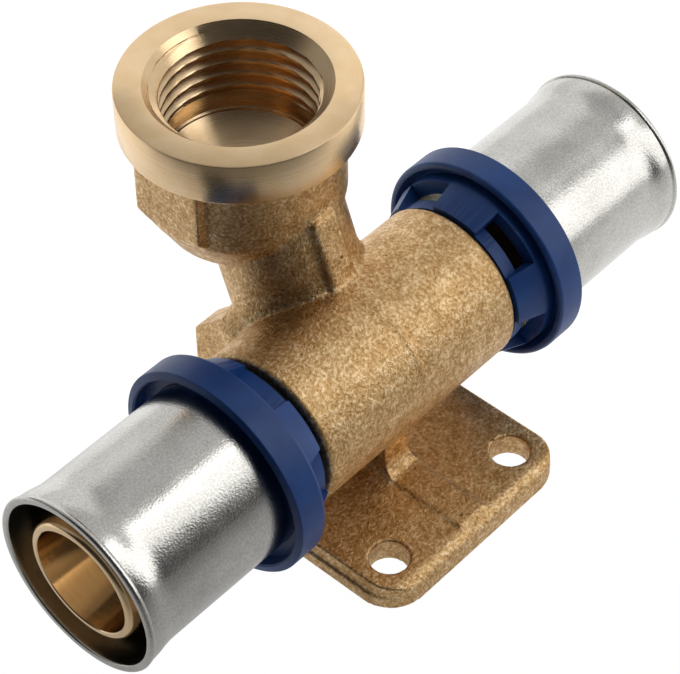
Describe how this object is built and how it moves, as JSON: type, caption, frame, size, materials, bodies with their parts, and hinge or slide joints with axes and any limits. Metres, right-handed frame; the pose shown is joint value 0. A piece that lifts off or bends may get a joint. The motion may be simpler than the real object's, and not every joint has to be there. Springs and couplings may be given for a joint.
{
  "type": "double wall plate",
  "caption": "Brass wall plate elbow with a threaded outlet and press ends on both sides for multilayer pipe.",
  "frame": {"origin": "on the wall, straight behind the middle of the pipe axis", "axes": "+X along the pipe axis, +Y towards the outlet's side, +Z away from the wall and out of the threaded outlet"},
  "size_m": [0.0946, 0.053, 0.052],
  "materials": {
    "cast_brass": "rough sand cast, turned bright on the outlet ring, its bore and the nipples",
    "stainless": "satin",
    "blue_plastic": "matte moulded",
    "black_plastic": "matte moulded",
    "black_rubber": "matte"
  },
  "bodies": {
    "root": {"body": "cast_brass", "neck_and_outlet": "cast_brass", "wall_foot": "cast_brass", "left_sleeve": "stainless", "right_sleeve": "stainless", "left_retaining_ring": "blue_plastic", "right_retaining_ring": "blue_plastic", "left_washer": "black_plastic", "right_washer": "black_plastic", "left_inner_seal": "black_rubber", "left_outer_seal": "black_rubber", "right_inner_seal": "black_rubber", "right_outer_seal": "black_rubber"}
  },
  "joints": []
}
